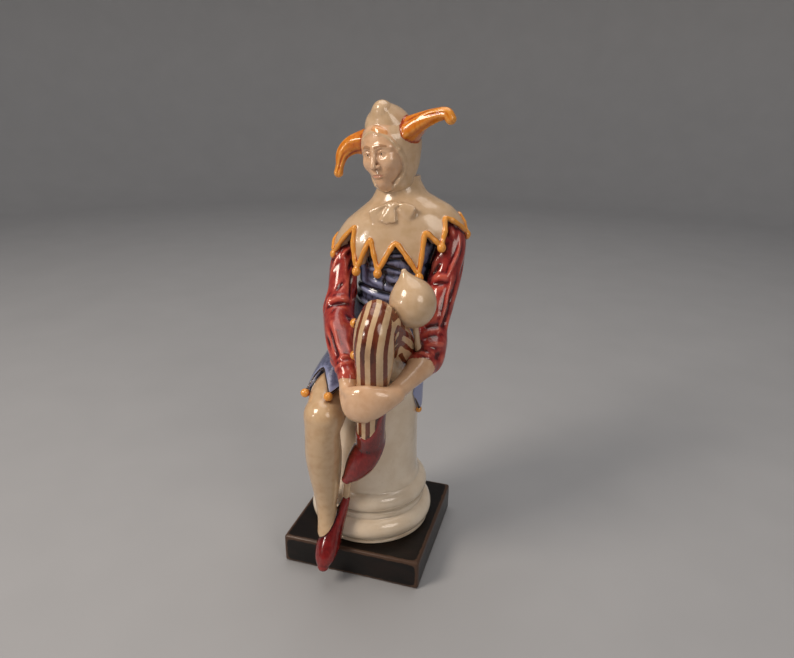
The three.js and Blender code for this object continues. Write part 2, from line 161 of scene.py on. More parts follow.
class Ball:
    """An ellipsoid, optionally turned by a matrix whose columns are its axes."""

    def __init__(self, centre, radii, paint, axes=None):
        self.centre = np.array(centre, np.float32)
        self.radii = np.broadcast_to(np.array(radii, np.float32), 3)
        self.axes = np.eye(3, dtype=np.float32) if axes is None else np.array(axes, np.float32)
        self.paint = paint
        self.low = self.centre - self.radii.max()
        self.high = self.centre + self.radii.max()

    def distance(self, points, span=None):
        q = (points - self.centre) @ self.axes
        k0 = np.linalg.norm(q / self.radii, axis=1)
        k1 = np.linalg.norm(q / self.radii ** 2, axis=1)
        return k0 * (k0 - 1) / np.maximum(k1, 1e-6)


class Tube:
    """A round cord through a few points, each [x, y, z, radius]."""

    def __init__(self, points, paint):
        self.points = np.array(points, np.float32)
        self.paint = paint
        reach = self.points[:, 3].max()
        self.low = self.points[:, :3].min(0) - reach
        self.high = self.points[:, :3].max(0) + reach

    def distance(self, points, span=None):
        best = np.full(len(points), 1e9, np.float32)
        for a, b in zip(self.points[:-1], self.points[1:]):
            step = b[:3] - a[:3]
            q = points - a[:3]
            h = np.clip(q @ step / max(step @ step, 1e-9), 0, 1)
            q -= h[:, None] * step
            best = np.minimum(best, np.sqrt(np.einsum("ij,ij->i", q, q)) - a[3] - h * (b[3] - a[3]))
        return best


def cords(points, radius, paint, closed=False, run=6):
    """A long cord as short tubes, so that each stays in a small box."""
    rows = np.array(points, float)
    if closed:
        rows = np.vstack([rows, rows[:1]])
    rows = np.column_stack([rows, np.broadcast_to(radius, len(rows))])
    return [Tube(rows[k:k + run + 1], paint) for k in range(0, len(rows) - 1, run)]


class Hem:
    """The edge of a cover: corners [angle in degrees, t] round a limb, with softened corners."""

    def __init__(self, corners, turn=1, steps=8, soften=2):
        rows = np.array(sorted([turn * angle % 360, t] for angle, t in corners))
        closed = np.vstack([rows, rows[:1] + [360, 0]])
        f = np.linspace(0, 1, steps, endpoint=False)[:, None]
        dense = np.vstack([a + (b - a) * f for a, b in zip(closed[:-1], closed[1:])])
        for _ in range(soften):
            before, after = np.roll(dense, 1, 0), np.roll(dense, -1, 0)
            before[0, 0] -= 360
            after[-1, 0] += 360
            dense = (before + 2 * dense + after) / 4
        self.angle, self.t = np.radians(dense[:, 0]), dense[:, 1]

    def at(self, angle):
        return np.interp(angle % (2 * math.pi), self.angle, self.t, period=2 * math.pi)


class Cover:
    """Cloth over a limb, down to its hem, hold millimetres deep."""

    def __init__(self, limb, hem, lift, hold, paint, edge=0.5):
        self.limb, self.hem, self.lift, self.hold, self.paint, self.edge = limb, hem, lift, hold, paint, edge
        row = limb.row(hem.t * limb.steps)
        pace = row[:, 17]
        size = row[:, 3:5].mean(1)
        run = np.gradient(np.unwrap(hem.angle)) * size
        rise = np.gradient(hem.t) * pace
        self.lean = 1 / np.sqrt(1 + (rise / run) ** 2)
        self.low, self.high = limb.low - lift, limb.high + lift

    def parts(self, points, span=None):
        row, u, v, w = self.limb.place(points, span)
        self.where = self.limb.where
        core = self.limb.measure(row, u, v, w)
        angle = np.arctan2(u / row[:, 3], v / row[:, 4])
        lean = np.interp(angle % (2 * math.pi), self.hem.angle, self.lean, period=2 * math.pi)
        edge = (row[:, 14] - self.hem.at(angle)) * row[:, 17] * lean
        return core, edge

    def distance(self, points, span=None):
        core, edge = self.parts(points, span)
        outer = smooth_max(core - self.lift, edge, self.edge)
        return smooth_max(outer, -core - self.hold, 0.3)


class Placed:
    """A body in a frame of its own: world = there(local), local = back(world), size times as large."""

    def __init__(self, part, there, back, size=1.0):
        self.part, self.back, self.paint, self.size = part, back, part.paint, size
        corners = np.array([[x, y, z] for x in (0, 1) for y in (0, 1) for z in (0, 1)], float)
        world = there(part.low + corners * (part.high - part.low))
        self.low, self.high = world.min(0), world.max(0)

    def distance(self, points, span=None):
        d = self.part.distance(self.back(points).astype(np.float32), span)
        self.where = getattr(self.part, "where", None)
        return d * self.size


class Folds:
    """Soft ridges and creases on a sleeve. A stroke is (length, angle, lean, long, wide, height)."""

    def __init__(self, strokes, radius):
        self.strokes, self.radius = strokes, radius

    def __call__(self, t, angle, length):
        total = np.zeros(len(t), np.float32)
        for where, turn, lean, long, wide, height in self.strokes:
            ds, da = length - where, turned(angle - turn) * self.radius
            p = ds * math.cos(lean) + da * math.sin(lean)
            q = da * math.cos(lean) - ds * math.sin(lean)
            total += height * np.exp(-(p / long) ** 2 - (q / wide) ** 2)
        return total


def sleeve_folds(seed, length, radius, count, height=0.75, creases=()):
    rng = np.random.default_rng(seed)
    strokes = []
    for k in range(count):
        up = 1 if k % 2 else -1
        strokes.append((
            rng.uniform(0, length),
            rng.uniform(-math.pi, math.pi),
            rng.normal(0, 0.5),
            rng.uniform(3, 8),
            rng.uniform(1.2, 2.6),
            up * rng.uniform(0.45, 1) * height,
        ))
    return Folds(strokes + list(creases), radius)


class Field:
    """A grid of signed distances, true only near the surface."""

    def __init__(self, low, high, voxel, band):
        voxel *= COARSE
        self.low, self.voxel, self.band = np.array(low, float), voxel, band
        count = np.ceil((np.array(high, float) - self.low) / (voxel * BLOCK)).astype(int)
        self.count = count
        self.data = np.full((*count, BLOCK, BLOCK, BLOCK), band, np.float32)
        steps = np.arange(BLOCK) * voxel
        self.inner = np.stack(np.meshgrid(steps, steps, steps, indexing="ij"), -1).reshape(1, -1, 3)

    def blocks(self, part, blend):
        """The blocks that the part's surface may cross, in order along the part, and those inside it."""
        size = self.voxel * BLOCK
        reach = self.band + blend * 0.5
        first = np.clip(np.floor((part.low - reach - self.low) / size).astype(int), 0, self.count)
        last = np.clip(np.ceil((part.high + reach - self.low) / size).astype(int), 0, self.count)
        ranges = [np.arange(a, b) for a, b in zip(first, last)]
        ijk = np.stack(np.meshgrid(*ranges, indexing="ij"), -1).reshape(-1, 3)
        if not len(ijk):
            return ijk, ijk, None
        d = part.distance((self.low + (ijk + 0.5) * size).astype(np.float32))
        limit = (size * 0.87 + reach) * 1.15
        near, deep = ijk[np.abs(d) < limit], ijk[d <= -limit]
        where = getattr(part, "where", None)
        if where is None:
            return near, deep, None
        where = where[np.abs(d) < limit]
        order = np.argsort(where)
        return near[order], deep, where[order]

    def update(self, part, blend, cut):
        near, deep, where = self.blocks(part, blend)
        if len(deep):
            self.data[tuple(deep.T)] = self.band if cut else -self.band
        for k in range(0, len(near), 500):
            some = near[k:k + 500]
            span = None if where is None else (where[k], where[k:k + 500][-1])
            corner = self.low + some * self.voxel * BLOCK
            points = (corner[:, None, :] + self.inner).reshape(-1, 3).astype(np.float32)
            d = part.distance(points, span).reshape(len(some), BLOCK, BLOCK, BLOCK)
            old = self.data[tuple(some.T)]
            new = smooth_max(old, -d, blend) if cut else smooth_min(old, d, blend)
            self.data[tuple(some.T)] = np.clip(new, -self.band, self.band)

    def add(self, part, blend=0.5):
        self.update(part, blend, False)

    def cut(self, part, blend=0.3):
        self.update(part, blend, True)

    def dense(self):
        return self.data.transpose(0, 3, 1, 4, 2, 5).reshape(self.count * BLOCK)

    def surface(self):
        grid = openvdb.FloatGrid(self.band)
        grid.copyFromArray(np.ascontiguousarray(self.dense()))
        points, quads = grid.convertToQuads(0.0)
        return points * self.voxel + self.low, quads.astype(np.int64)


def blurred(values, radius):
    """A box blur along each axis in turn."""
    width = 2 * radius + 1
    for axis in range(3):
        pad = [(radius + 1, radius) if k == axis else (0, 0) for k in range(3)]
        total = np.cumsum(np.pad(values, pad, mode="edge"), axis=axis, dtype=np.float64)
        count = values.shape[axis]
        high = np.take(total, np.arange(width, width + count), axis=axis)
        values = ((high - np.take(total, np.arange(count), axis=axis)) / width).astype(np.float32)
    return values


def sampled(values, places):
    """Values between grid points, at places in grid steps."""
    places = np.clip(places, 0, np.array(values.shape) - 1.001)
    index = places.astype(int)
    f = places - index
    total = 0
    for dx in (0, 1):
        for dy in (0, 1):
            for dz in (0, 1):
                weight = np.prod(np.where([dx, dy, dz], f, 1 - f), axis=1)
                total = total + weight * values[index[:, 0] + dx, index[:, 1] + dy, index[:, 2] + dz]
    return total


def largest(points, quads):
    """The biggest connected part of a mesh, so that hidden hollows are dropped."""
    label = np.arange(len(points))
    ends = np.vstack([quads[:, [0, 1]], quads[:, [1, 2]], quads[:, [2, 3]]])
    while True:
        low = np.minimum(label[ends[:, 0]], label[ends[:, 1]])
        fresh = label.copy()
        np.minimum.at(fresh, ends[:, 0], low)
        np.minimum.at(fresh, ends[:, 1], low)
        fresh = fresh[fresh]
        if np.array_equal(fresh, label):
            break
        label = fresh
    names, counts = np.unique(label, return_counts=True)
    keep = label == names[counts.argmax()]
    index = np.cumsum(keep) - 1
    return points[keep], index[quads[keep[quads[:, 0]]]]


def new_object(name, points, faces):
    mesh = bpy.data.meshes.new(name)
    mesh.vertices.add(len(points))
    mesh.vertices.foreach_set("co", (points * MM).astype(np.float32).ravel())
    sides = faces.shape[1]
    mesh.loops.add(faces.size)
    mesh.loops.foreach_set("vertex_index", faces.astype(np.int32).ravel())
    mesh.polygons.add(len(faces))
    mesh.polygons.foreach_set("loop_start", np.arange(0, faces.size, sides, dtype=np.int32))
    mesh.update(calc_edges=True)
    obj = bpy.data.objects.new(name, mesh)
    bpy.context.scene.collection.objects.link(obj)
    return obj


def reduced(obj, target):
    """The same surface with about target triangles."""
    mesh = obj.data
    triangles = sum(len(p.vertices) - 2 for p in mesh.polygons) if len(mesh.polygons) < 10 else (
        len(mesh.loops) - 2 * len(mesh.polygons))
    if triangles > target:
        modifier = obj.modifiers.new("Reduce", "DECIMATE")
        modifier.ratio = target / triangles
        modifier.use_collapse_triangulate = True
        depsgraph = bpy.context.evaluated_depsgraph_get()
        fresh = bpy.data.meshes.new_from_object(obj.evaluated_get(depsgraph))
        obj.modifiers.clear()
        obj.data = fresh
        bpy.data.meshes.remove(mesh)
    obj.data.shade_smooth()
    return obj


def vertices(obj):
    out = np.empty(len(obj.data.vertices) * 3, np.float32)
    obj.data.vertices.foreach_get("co", out)
    return out.reshape(-1, 3) / MM


def store(obj, name, values):
    layer = obj.data.attributes.new(name, "FLOAT", "POINT")
    layer.data.foreach_set("value", np.ascontiguousarray(values, np.float32))


PAINTS = ["cream", "skin", "red", "blue", "orange", "stocking", "shoe", "hair", "ink", "brow", "rose"]


def paint_fields(obj, parts):
    """Half the lead of each paint over the next nearest, in millimetres."""
    points = vertices(obj)
    nearest = {name: np.full(len(points), BAND, np.float32) for name in PAINTS}
    for part in parts:
        here = np.all((points > part.low - BAND) & (points < part.high + BAND), axis=1)
        if here.any():
            values = nearest[part.paint]
            values[here] = np.minimum(values[here], part.distance(points[here]))
    table = np.stack([nearest[name] for name in PAINTS])
    for k, name in enumerate(PAINTS):
        others = np.delete(table, k, 0).min(0)
        if (table[k] < BAND).any():
            store(obj, name, np.clip((others - table[k]) / 2, -2, 2))
    return points


def sculpt(name, field, steps, target, painted_on=()):
    """Meshes the steps (part, blend, cut) and keeps the paints and the relief of the surface.
    What is painted on colours the surface and leaves its shape."""
    for part, blend, is_cut in steps:
        field.update(part, blend, is_cut)
    points, quads = largest(*field.surface())
    obj = reduced(new_object(name, points, quads), target)
    spots = paint_fields(obj, [part for part, _, is_cut in steps if not is_cut] + list(painted_on))
    places = (spots - field.low) / field.voxel / 2
    dense = field.dense()[::2, ::2, ::2]
    # The relief says how far the surface stands out or sinks in. The figure's paints turn it into painted shade in the
    # hollows and painted highlights on the ridges; the slab turns it into its worn edges
    store(obj, "relief", sampled(blurred(dense, round(1.5 / COARSE)), places))
    return obj


def add(*parts, blend=0.5):
    return [(part, blend, False) for part in parts]


def cut(*parts, blend=0.3):
    return [(part, blend, True) for part in parts]


# The trunk and the cape
trunk = Limb(
    [
        [2, 8, 112, 21, 17], [3, 6, 126, 20, 16.5], [6, 4, 142, 18, 14.5], [10, 3, 156, 18, 13.5],
        [12, 4.5, 170, 19.6, 15.5], [12.5, 6.5, 184, 24, 17], [12.5, 7, 194, 20, 15], [12, 7, 202, 9, 9],
    ],
    "blue", CHEST,
    folds=Folds(
        [
            (length, turn, math.pi / 2 + lean, long, 1.1, height)
            for length, turn, lean, long, height in (
                (37.5, 0, 0, 40, -0.5), (39.5, 0, 0, 40, 0.7), (45.5, 0, 0, 40, 0.7), (47.6, 0, 0, 40, -0.6),
                (51, -0.35, 0.15, 4, 0.8), (52.5, 0.25, -0.25, 4, -0.8), (54.5, -0.1, 0.3, 4, 0.8),
                (56.5, 0.4, 0.1, 5, -0.7), (58, -0.4, -0.2, 4, 0.8), (60, 0.1, 0.2, 5, -0.8), (62, -0.2, -0.2, 5, 0.8),
                (64, 0.4, 0.25, 4, -0.8), (66, 0, -0.1, 6, 0.8), (68, -0.5, 0.2, 5, -0.7), (70, 0.3, -0.2, 5, 0.7),
                (54, 2.6, 0.1, 8, 0.5), (60, -2.7, -0.1, 8, 0.5), (65, 3.0, 0.1, 9, -0.5), (55, 1.6, 0.1, 6, 0.6),
                (58, -1.6, 0.1, 6, 0.6), (62, 1.2, 0.2, 6, -0.7),
            )
        ] + [(54, -0.17, 0, 5, 0.6, -0.8)],
        15,
    ),
)
SHOULDER_TILT = 0.155
CAPE_STATIONS = [
    [12.5, 7, 213, 11, 10.6], [12.5, 7, 207, 14.4, 12.6], [12.5, 7, 202.5, 20.4, 15], [12.5, 7, 197, 28, 17.6],
    [12.5, 7, 189, 33.4, 19.2], [12.5, 7, 181, 35, 20.2], [12.5, 7, 173, 35.4, 20.6], [12.5, 7, 165, 35.4, 20.6],
]
CAPE_HEM = [
    [-68, 4.95], [-42, 3.15], [-32, 6.0], [-20, 3.95], [-12, 6.2], [2, 4.3],
    [22, 6.7], [27, 3.95], [42, 5.1], [53, 3.3], [88, 4.75], [103, 3.4],
    *[corner for angle in range(118, 270, 26) for corner in ([angle, 5.3], [angle + 13, 3.8])],
]


def tilt(points):
    out = np.array(points, float)
    out[:, 2] += (out[:, 0] - 12.5) * SHOULDER_TILT
    return out


def untilt(points):
    out = np.array(points, float)
    out[:, 2] -= (out[:, 0] - 12.5) * SHOULDER_TILT
    return out


cape_form = Limb(CAPE_STATIONS, "cream", CHEST)
cape_hem = Hem(CAPE_HEM, turn=-1)
cape = Placed(Cover(cape_form, cape_hem, 0.0, 4.0, "cream"), tilt, untilt)
piping_radius = 1.25 + 0.15 * np.sin(1.9 * np.arange(len(cape_hem.t) + 1))
piping = cords(tilt(cape_form.point(cape_hem.t, cape_hem.angle, 0.3)), piping_radius, "orange", closed=True)
cape_bells = [
    Ball(tilt(cape_form.point(t, math.radians(-angle), 0.7))[0] - [0, 0, 0.6], (2.25, 2.25, 2.6), "orange")
    for angle, t in CAPE_HEM[::2]
]
bow = [
    Ball((12.4, -8.2, 203.6), (1.5, 1.3, 1.6), "cream"),
    Ball((14.8, -8.2, 203.8), (1.5, 1.3, 1.6), "cream"),
    Limb([[12, -8.2, 203.4, 1.3, 1.0], [8, -9.6, 200.8, 2.6, 0.9], [3.8, -10.2, 198, 3.3, 0.9]], "cream"),
    Limb([[15, -8.2, 203.6, 1.3, 1.0], [19.4, -8.8, 202.6, 2.9, 1.2], [23.4, -8.4, 200.6, 3.6, 1.7]], "cream"),
    Limb([[13, -9, 202.4, 1, 0.8], [11.4, -11, 198.8, 1.5, 0.7], [10.2, -11.9, 196, 1.8, 0.4]], "cream"),
    Limb([[14, -9, 202.4, 1, 0.8], [14.6, -11, 198.6, 1.4, 0.7], [14.8, -11.8, 196.2, 1.6, 0.4]], "cream"),
]
bow_pleats = [
    Tube([[x, y, z, 0.5], [x + dx, y - 2.2, z - 4.6, 0.15]], "cream")
    for x, y, z, dx in ((10.6, -9.6, 203, -3.2), (9.4, -9.8, 202.4, -4.4), (17, -9.4, 203.2, 3), (16.2, -9.8, 202.2, 2))
]

# Arms
right_upper_arm = Limb(
    [
        [-6.4, 6.4, 188.4, 7, 7.2], [-12.6, 3, 180, 7.4, 7.8], [-14.4, -3, 170, 7.4, 7.6],
        [-12.8, -11, 158, 7.4, 7.8], [-11, -20, 148, 7.6, 8], [-8.5, -27, 143, 7, 7.4],
    ],
    "red", folds=sleeve_folds(11, 58, 8, 30, 1.1, [
        (37, -1.1, 0, 7, 1.1, -1.3), (38, -0.25, 0.6, 3, 1.1, -1.0), (49, -0.35, 1.35, 6, 1.6, -1.0),
        (45.6, -0.35, 1.4, 6, 1.8, 0.8), (18.5, -0.2, 0.3, 4, 1, 0.9), (22.9, -0.87, 0.1, 5, 0.9, -1.2),
        (57, -0.14, 0.2, 5, 1, -1.0),
    ]),
)
right_forearm = Limb(
    [
        [-10.5, -22, 146, 7.6, 7.8], [-7, -31, 142.5, 7.2, 7.4], [-3, -38.5, 137.5, 6.8, 6.6],
        [1.6, -45, 132.6, 5.8, 5.8], [5, -50, 128.6, 5.2, 5.2],
    ],
    "red", folds=sleeve_folds(12, 34, 7, 18, 1.0, [
        (20, -0.45, -0.1, 8, 0.9, 1.0), (20, -0.15, -0.1, 7, 0.9, -1.1), (30, -0.6, ACROSS, 4, 1.1, 0.9),
        (33, 0, ACROSS, 9, 1.2, 0.6),
    ]),
)
left_upper_arm = Limb(
    [
        [34, 9, 195, 8, 8], [39.5, 9, 186, 8.2, 8.6], [39.5, 4, 172, 8.6, 8.8],
        [38.4, -4, 157, 8, 8.2], [37.2, -11, 145, 7.3, 7.6], [37.3, -18, 135.5, 7.3, 7.2],
    ],
    "red", folds=sleeve_folds(13, 68, 8, 24, 0.9, [
        (21, -0.65, 0.2, 10, 0.9, 1.1), (50, -0.62, 0, 14, 0.9, 1.2), (45, -1.0, 0, 16, 1.3, -0.9),
        (36.8, 0.07, 1.3, 4.5, 1.5, -0.9), (33.2, 0.07, 1.35, 4, 1.7, 0.8), (26, 0.6, 0.3, 4, 1.5, 1.2),
        (29.5, 0.45, 0.5, 3, 1, -1.3), (60, -0.2, 1.2, 6, 1.6, -1.1),
    ]),
)
left_cuff = Limb(
    [[37.2, -12, 142, 7, 7], [37.6, -17, 137.5, 8.2, 8.2], [37.2, -22.5, 132, 8.4, 8.4], [35.2, -27, 129, 7.4, 7.6]],
    "red", folds=sleeve_folds(14, 20, 8, 10, 0.8, [
        (6.5, -0.3, 1.2, 5, 1.6, -1.0), (10.5, -0.5, 1.2, 4, 1.1, 1.1), (15.5, -0.6, 0.9, 5, 1.4, -1.0),
        (19, 0.4, 1.3, 4, 1.1, 1.0),
    ]),
)
left_forearm = Limb(
    [[37.6, -22, 131, 6.6, 6.6], [35, -31, 128.4, 6.6, 6.2], [31.5, -42, 125.2, 5, 4.7], [28, -51, 122.6, 4.5, 4.6]],
    "skin", UP,
)
right_hand = Limb(
    [
        [4.6, -49.5, 129.2, 4.3, 4.6], [6, -52.5, 124.5, 4.4, 5], [7.5, -55, 119.5, 4.6, 5.6],
        [10, -57, 114.5, 4.4, 5], [15, -57.5, 112.5, 3.6, 3.6],
    ],
    "skin",
)
left_hand = Limb(
    [
        [29, -51.5, 122.6, 4.6, 4.5], [25.5, -56, 121.8, 4.6, 6.5], [20, -59.5, 120.8, 4.4, 8.8],
        [13.5, -60.4, 119.4, 4.3, 9], [9, -58.6, 118, 3.8, 7.4],
    ],
    "skin", UP,
)
fingers = [
    Limb(
        [
            [15 + k * 0.7, -61.5 + k * 0.5, height, 2.1, 2.1],
            [9.5 + k * 0.8, -60.3 + k * 0.5, height - 0.6, 2.1, 2.1],
            [5.8 + k * 0.9, -56.4 + k * 0.4, height - 1.2, 2.1, 2.1],
            [5 + k * 0.9, -51.5 + k * 0.3, height - 1.6, 1.9, 1.9],
        ],
        "skin", UP,
    )
    for k, height in enumerate((125.2, 120.8, 116.4, 112.4))
]

# The bladder on its stick
bladder = Ball((31.6, -33, 162.4), (11.4, 11, 12.2), "cream")
bladder_tip = Limb([[30.6, -33, 166, 8.6, 8.4], [28.6, -33.4, 172.6, 5, 5], [27.2, -33.6, 177.6, 1.4, 1.4]], "cream")
stick = Tube([[31.5, -31, 158, 1.5], [33.4, -27, 136, 1.5]], "cream")

# Skirts
hips_form = Limb(
    [
        [7, 4, 138, 17.5, 16], [4, 5, 130, 21.5, 20], [2.6, 5, 120, 24.4, 23],
        [0.8, 3, 108, 26, 25.6], [0.2, 1.6, 96, 26.6, 26.6], [0, 1, 86, 26.8, 26.8],
    ],
    "blue", folds=lambda t, angle, length: 0.8 * np.cos(8 * angle) * np.clip(t / 3, 0, 1),
)
HIPS_HEM = [
    [20, 2.0], [50, 2.5], [68, 3.4], [86, 4.5], [108, 3.5], [130, 4.4], [152, 3.5], [174, 4.4],
    [196, 3.5], [218, 4.4], [240, 3.5], [262, 4.3], [284, 3.2], [306, 3.0], [340, 2.2],
]
hips = Cover(hips_form, Hem(HIPS_HEM, turn=-1), 1.5, 9, "blue")
lap_form = Limb(
    [
        [-7, 4, 118, 15, 13.4], [-8, -12, 116, 14.4, 13], [-9, -28, 112.5, 13.2, 12],
        [-9.4, -40, 108, 11.8, 11], [-9.4, -50, 103, 10.6, 10.4],
    ],
    "blue", UP,
)
LAP_HEM = [
    [-95, 3.0], [-60, 1.9], [-18, 3.45], [24, 2.1], [66, 3.1], [95, 1.8], [120, 2.6], [150, 1.5],
    [180, 1.0], [210, 1.0], [240, 1.8],
]
lap = Cover(lap_form, Hem(LAP_HEM), 1.5, 5, "blue")
skirt_bells = [
    Ball(hips_form.point(t, math.radians(-angle), 1.0)[0], 1.9, "orange") for angle, t in HIPS_HEM if t > 4
] + [
    Ball(lap_form.point(t, math.radians(angle), 1.4)[0], 2.3, "orange") for angle, t in LAP_HEM if t > 2.9
] + [Ball((8.6, -50, 155.4), 2.3, "orange"), Ball((8.4, -50, 139.4), 2.3, "orange")]

# Legs
right_thigh = Limb(
    [[-8, 8, 112, 14, 13], [-9, -12, 113, 13, 12.2], [-9.5, -32, 110, 11.8, 11.4], [-9.3, -46, 103.5, 10.2, 10.2]],
    "stocking", UP,
)
right_shin = Limb(
    [
        [-9, -49, 104, 9.6, 9.6], [-10, -48.6, 94, 8.9, 9.2], [-11.3, -45, 80.5, 9.4, 10], [-12.1, -42, 67.7, 8.6, 9.2],
        [-12.5, -40.2, 56, 7.2, 7.6], [-12.8, -39.8, 46, 5.7, 6], [-12.4, -40.4, 37, 5.1, 5.3], [-12, -42, 29, 5.2, 5],
    ],
    "stocking",
)
right_shoe = Limb(
    [
        [-3.4, -34.4, 46, 2.2, 2.2], [-5.8, -36.8, 38, 3.4, 3.8], [-8.6, -40.8, 29.4, 5.2, 5.6],
        [-10.3, -45, 22, 6.6, 6], [-10.8, -49.2, 16.6, 5.6, 4.8], [-10.8, -51.4, 12.8, 3.2, 3],
    ],
    "shoe", (-0.35, -0.9, 0.1),
)
left_thigh = Limb(
    [[12, 8, 114, 14, 13.5], [16, -12, 126, 12.8, 12.6], [20, -32, 142, 11.4, 11.6], [19.6, -45, 154, 9.6, 9.6]],
    "stocking", UP,
)
left_shin = Limb(
    [
        [18.4, -47, 159.6, 7.2, 7.4], [18.8, -51.5, 155, 9, 9], [19, -53.4, 146, 9.6, 9.4], [18.6, -52, 136, 9, 9],
        [17, -49.8, 125, 7.8, 8], [15.6, -47, 114, 7.2, 7.4], [14.2, -44, 104, 6.9, 7], [13, -41, 94.5, 6.8, 6.8],
        [12, -38.6, 87, 6.8, 6.6],
    ],
    "stocking",
)
left_shoe = Limb(
    [
        [15.4, -33.4, 97, 2.8, 2.8], [13.6, -36.4, 90.5, 6.6, 6], [11, -38.8, 83, 8, 7],
        [7.4, -40.6, 75.4, 7.6, 6.8], [3.8, -42, 69.4, 5.4, 5.2], [0.8, -43, 65.6, 2.9, 3],
    ],
    "shoe", (-0.3, -0.9, 0.3),
)
ankle_form = Limb(
    [
        [12, -38.6, 87, 6.8, 6.6], [13, -41, 94.5, 6.8, 6.8], [14.2, -44, 104, 6.9, 7],
        [15.6, -47, 114, 7.2, 7.4], [17, -49.8, 125, 7.8, 8],
    ],
    "shoe",
)
ANKLE_HEM = [
    [-110, 1.7], [-66, 1.15], [-34, 1.15], [-2, 1.1], [18, 1.35], [40, 1.8], [50, 2.45], [66, 2.95], [110, 3.1],
    [180, 2.9],
]
ankle = Cover(ankle_form, Hem(ANKLE_HEM), 0.7, 3, "shoe")
prop = Limb([[1, -42, 65, 2.2, 2.2], [-1, -38.5, 57.5, 2, 2], [-3, -35, 50, 2.2, 2.2]], "cream")

# Head and cap. The head's own frame has the face along -Y and its middle at the origin.
head_turn = (
    Matrix.Rotation(math.radians(-15), 3, "Z")
    @ Matrix.Rotation(math.radians(-8), 3, "Y")
    @ Matrix.Rotation(math.radians(6), 3, "X")
)
HEAD_TURN = np.array(head_turn)
HEAD_AT = np.array([9.4, 1.5, 226.0])


def from_head(points):
    return np.asarray(points) @ HEAD_TURN.T + HEAD_AT


def to_head(points):
    return (points - HEAD_AT) @ HEAD_TURN


def on_head(part):
    return Placed(part, from_head, to_head)


# The face is modelled at a larger size, and then set into the hood
FACE_SIZE = 0.85
FACE_AT = np.array([0, -2.6, 3.9])


def on_face(part):
    return Placed(
        part,
        lambda points: from_head(np.asarray(points) * FACE_SIZE + FACE_AT),
        lambda points: (to_head(points) - FACE_AT) / FACE_SIZE,
        FACE_SIZE,
    )


skull = Limb(
    [
        [0, -7.6, -17.8, 4.8, 4.6], [0, -5.8, -14, 8.4, 8.6], [0, -3.8, -8, 11.2, 10.8], [0, -2.6, 0, 12.6, 12.0],
        [0, -1.2, 6.6, 12.6, 11.6], [0, 2, 12, 10, 9.5],
    ],
    "skin",
)
hood = Limb(
    [
        [0, -0.6, -10.4, 11, 8.6], [0, 1.4, -5, 13.4, 10.8], [0, 2.2, 0, 14.4, 12.6], [0, 1.8, 5, 14.5, 13.6],
        [0, 1.0, 10, 13.6, 14], [0, 1.4, 14, 11, 11.8],
    ],
    "cream",
)


def hood_rim(across=10.6, high=14.0, middle=-0.6, steps=40):
    """The hood's edge round the face: an upright oval laid on its front."""
    angle = np.arange(steps) / steps * 2 * math.pi
    x, z = across * np.sin(angle), middle - high * np.cos(angle)
    outside, inside = np.full(steps, -24.0), np.full(steps, 0.0)
    for _ in range(12):
        y = (outside + inside) / 2
        beyond = hood.distance(np.column_stack([x, y, z]).astype(np.float32)) > 0
        outside, inside = np.where(beyond, y, outside), np.where(beyond, inside, y)
    return cords(np.column_stack([x, outside, z]), 0.8, "cream", closed=True)


def mirrored(points):
    rows = [list(p) for p in points]
    return [[-p[0], *p[1:]] for p in reversed(rows) if p[0]] + rows


def pair(make):
    return [make(-1), make(1)]


face_steps = [
    *add(skull, blend=0.4),
    *add(*pair(lambda s: Ball((6.6 * s, -9.4, -5.4), (3.8, 3.8, 4.2), "skin")), blend=3),
    *add(Ball((0, -9.6, -11.6), (5.2, 4.8, 4.2), "skin"), blend=2.5),
    *add(Ball((0, -10.2, -16.4), (3.4, 3.2, 2.8), "skin"), blend=2.5),
    *add(Tube(mirrored([[0, -13.4, 3.0, 1.2], [4.2, -12.9, 3.4, 1.4], [8.4, -9.8, 2.0, 1.2]]), "skin"), blend=2),
    *cut(*pair(lambda s: Ball((4.9 * s, -15.4, -0.6), (3.5, 3.2, 2.5), "skin")), blend=1.6),
    *add(Tube([[0, -13.6, 2.6, 1.2], [0, -15.0, -1.6, 1.35], [0, -16.6, -5.2, 1.6], [0, -17.0, -6.8, 1.75]], "skin"),
         blend=1.4),
    *add(*pair(lambda s: Ball((1.9 * s, -15.0, -7.3), (1.25, 1.6, 1.15), "skin")), blend=0.9),
    *add(*pair(lambda s: Ball((4.7 * s, -10.7, -0.6), 2.7, "skin")), blend=0.3),
    *add(*pair(lambda s: Tube(
        [[2.2 * s, -12.7, -1.1, 0.35], [3.4 * s, -13.5, 0.5, 0.5], [4.9 * s, -13.5, 1.0, 0.5],
         [6.4 * s, -12.6, 0.4, 0.5], [7.4 * s, -11.4, -0.9, 0.35]], "skin")), blend=0.6),
    *add(*pair(lambda s: Tube(
        [[2.4 * s, -12.6, -1.3, 0.3], [3.6 * s, -13.0, -2.2, 0.4], [5.2 * s, -12.9, -2.4, 0.4],
         [7.2 * s, -11.5, -1.2, 0.3]], "skin")), blend=0.8),
    *add(Tube(mirrored([[0, -14.3, -11.7, 0.6], [1.1, -14.3, -11.4, 0.65], [3.5, -12.9, -12.2, 0.35]]), "skin"), blend=0.7),
    *add(Tube(mirrored([[0, -14.0, -13.2, 0.85], [1.6, -13.8, -13.1, 0.8], [3.2, -12.9, -12.6, 0.4]]), "skin"), blend=0.7),
    *cut(Tube(mirrored([[0, -15.1, -12.35, 0.32], [1.8, -14.6, -12.2, 0.3], [3.7, -13.2, -12.4, 0.2]]), "skin"), blend=0.4),
    *cut(*pair(lambda s: Ball((1.1 * s, -16.0, -8.6), (0.55, 0.8, 0.5), "skin")), blend=0.4),
]
crest = Limb(
    [[13.6, 4, 234, 10.4, 10.4], [11.4, 0.6, 240.2, 8.4, 8.4], [9, -2.4, 244.6, 6.4, 6.4], [6.9, -4.8, 248, 4.8, 4.8]],
    "cream",
    steps=12,
)
